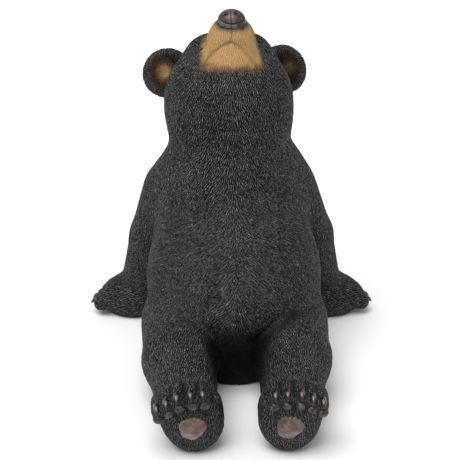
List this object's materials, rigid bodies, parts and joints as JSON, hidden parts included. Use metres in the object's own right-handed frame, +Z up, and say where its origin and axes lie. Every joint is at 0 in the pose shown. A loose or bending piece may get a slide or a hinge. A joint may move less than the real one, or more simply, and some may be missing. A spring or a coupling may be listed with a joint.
{
  "type": "bear cub statue",
  "caption": "Cast figurine of a seated black bear cub leaning back on its front paws, hind legs out, muzzle lifted to the sky.",
  "frame": {"origin": "on the floor, under the middle of the box round the statue", "axes": "+Z up, +Y towards the cub's back, so that it faces -Y, +X towards its left side"},
  "size_m": [0.328, 0.3964, 0.3799],
  "materials": {
    "painted_resin": "matt charcoal paint, dry-brushed grey on the carved fur"
  },
  "bodies": {
    "root": {"bear_cub": "painted_resin"}
  },
  "joints": []
}
